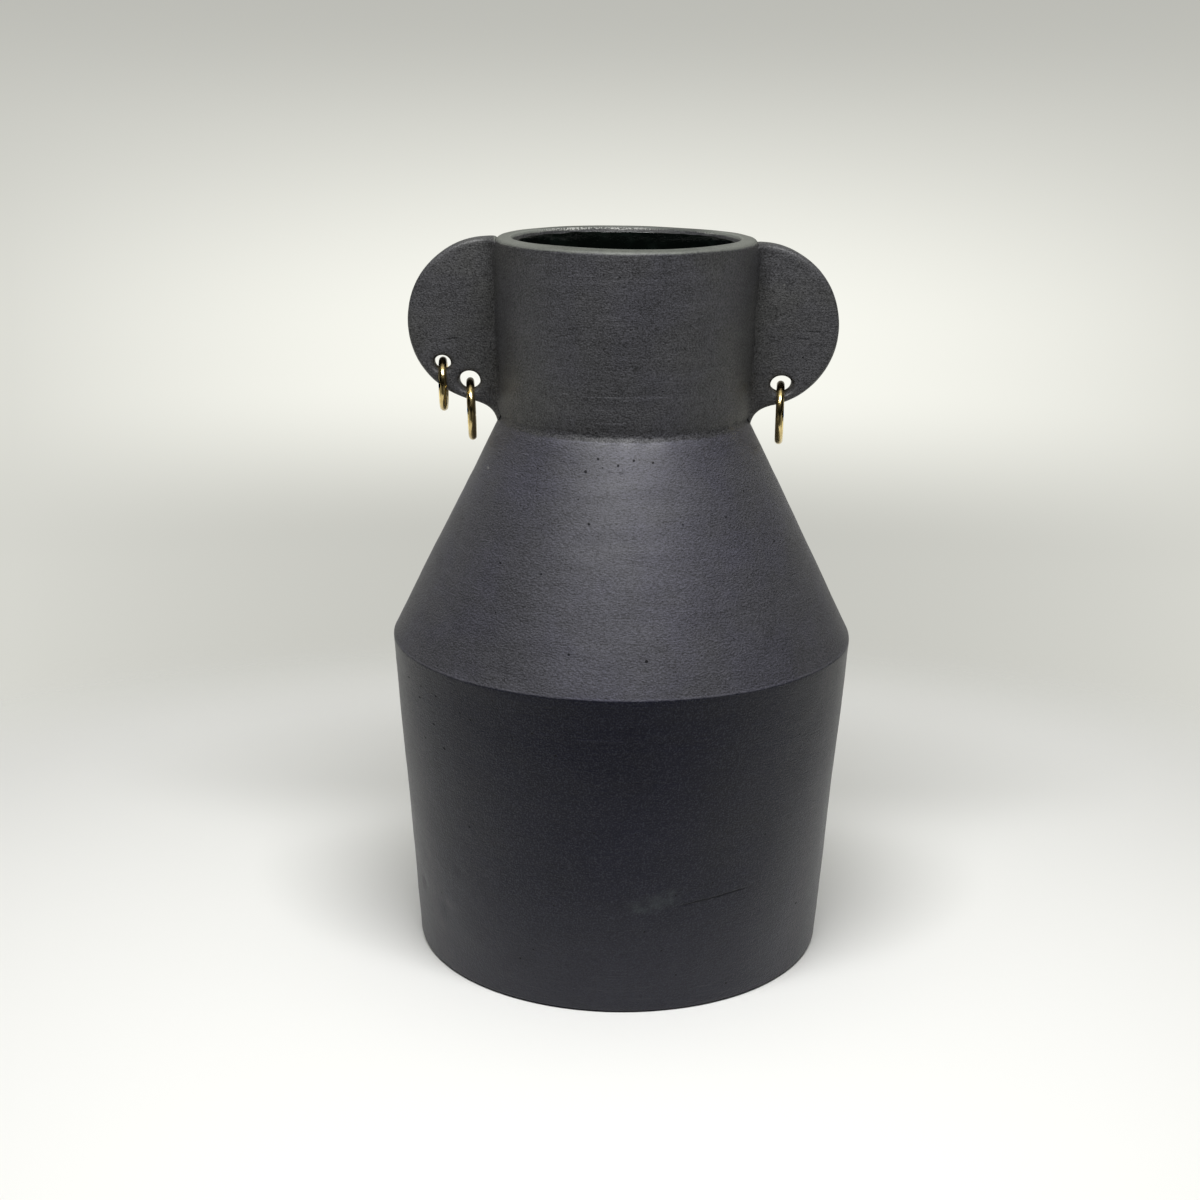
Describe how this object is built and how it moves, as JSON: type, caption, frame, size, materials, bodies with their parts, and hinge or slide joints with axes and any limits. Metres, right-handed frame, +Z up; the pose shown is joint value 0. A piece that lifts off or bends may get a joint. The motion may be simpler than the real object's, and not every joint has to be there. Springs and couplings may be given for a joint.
{
  "type": "handled vase",
  "caption": "Coned stoneware bottle vase with a wide straight neck, pierced disc ears luted to its sides, and brass hoops that swing in the ears.",
  "frame": {"origin": "middle of the flat underside, on the vessel's vertical axis", "axes": "+Z up along the vessel's axis, front of the picture towards -Y, the ears lie along X with the two-hoop ear at -X"},
  "size_m": [0.1794, 0.1794, 0.28],
  "materials": {
    "stoneware": "dry matte charcoal stoneware with fine grog, rim wiped to pale grey",
    "liner_glaze": "glossy near-black liner glaze with a green tint",
    "brass_wire": "polished, lightly handled"
  },
  "bodies": {
    "vessel": {"base_slab": "stoneware", "lower_wall": "stoneware", "shoulder_cone": "stoneware", "neck_collar": "stoneware", "left_ear": "stoneware", "right_ear": "stoneware", "glaze_lining": "liner_glaze"},
    "hoop_outer_left": {"outer_left_hoop": "brass_wire"},
    "hoop_inner_left": {"inner_left_hoop": "brass_wire"},
    "hoop_right": {"right_hoop": "brass_wire"}
  },
  "joints": [
    {"name": "outer_left_hoop_swing", "type": "hinge", "parent": "vessel", "child": "hoop_outer_left", "pos_m": [-0.0695, 0, 0.2322], "axis": [0, 1, 0], "range_deg": [-15, 115]},
    {"name": "inner_left_hoop_swing", "type": "hinge", "parent": "vessel", "child": "hoop_inner_left", "pos_m": [-0.0591, 0, 0.2243], "axis": [0, 1, 0], "range_deg": [-12, 24]},
    {"name": "right_hoop_swing", "type": "hinge", "parent": "vessel", "child": "hoop_right", "pos_m": [0.0598, 0, 0.2244], "axis": [0, -1, 0], "range_deg": [-15, 110]}
  ]
}
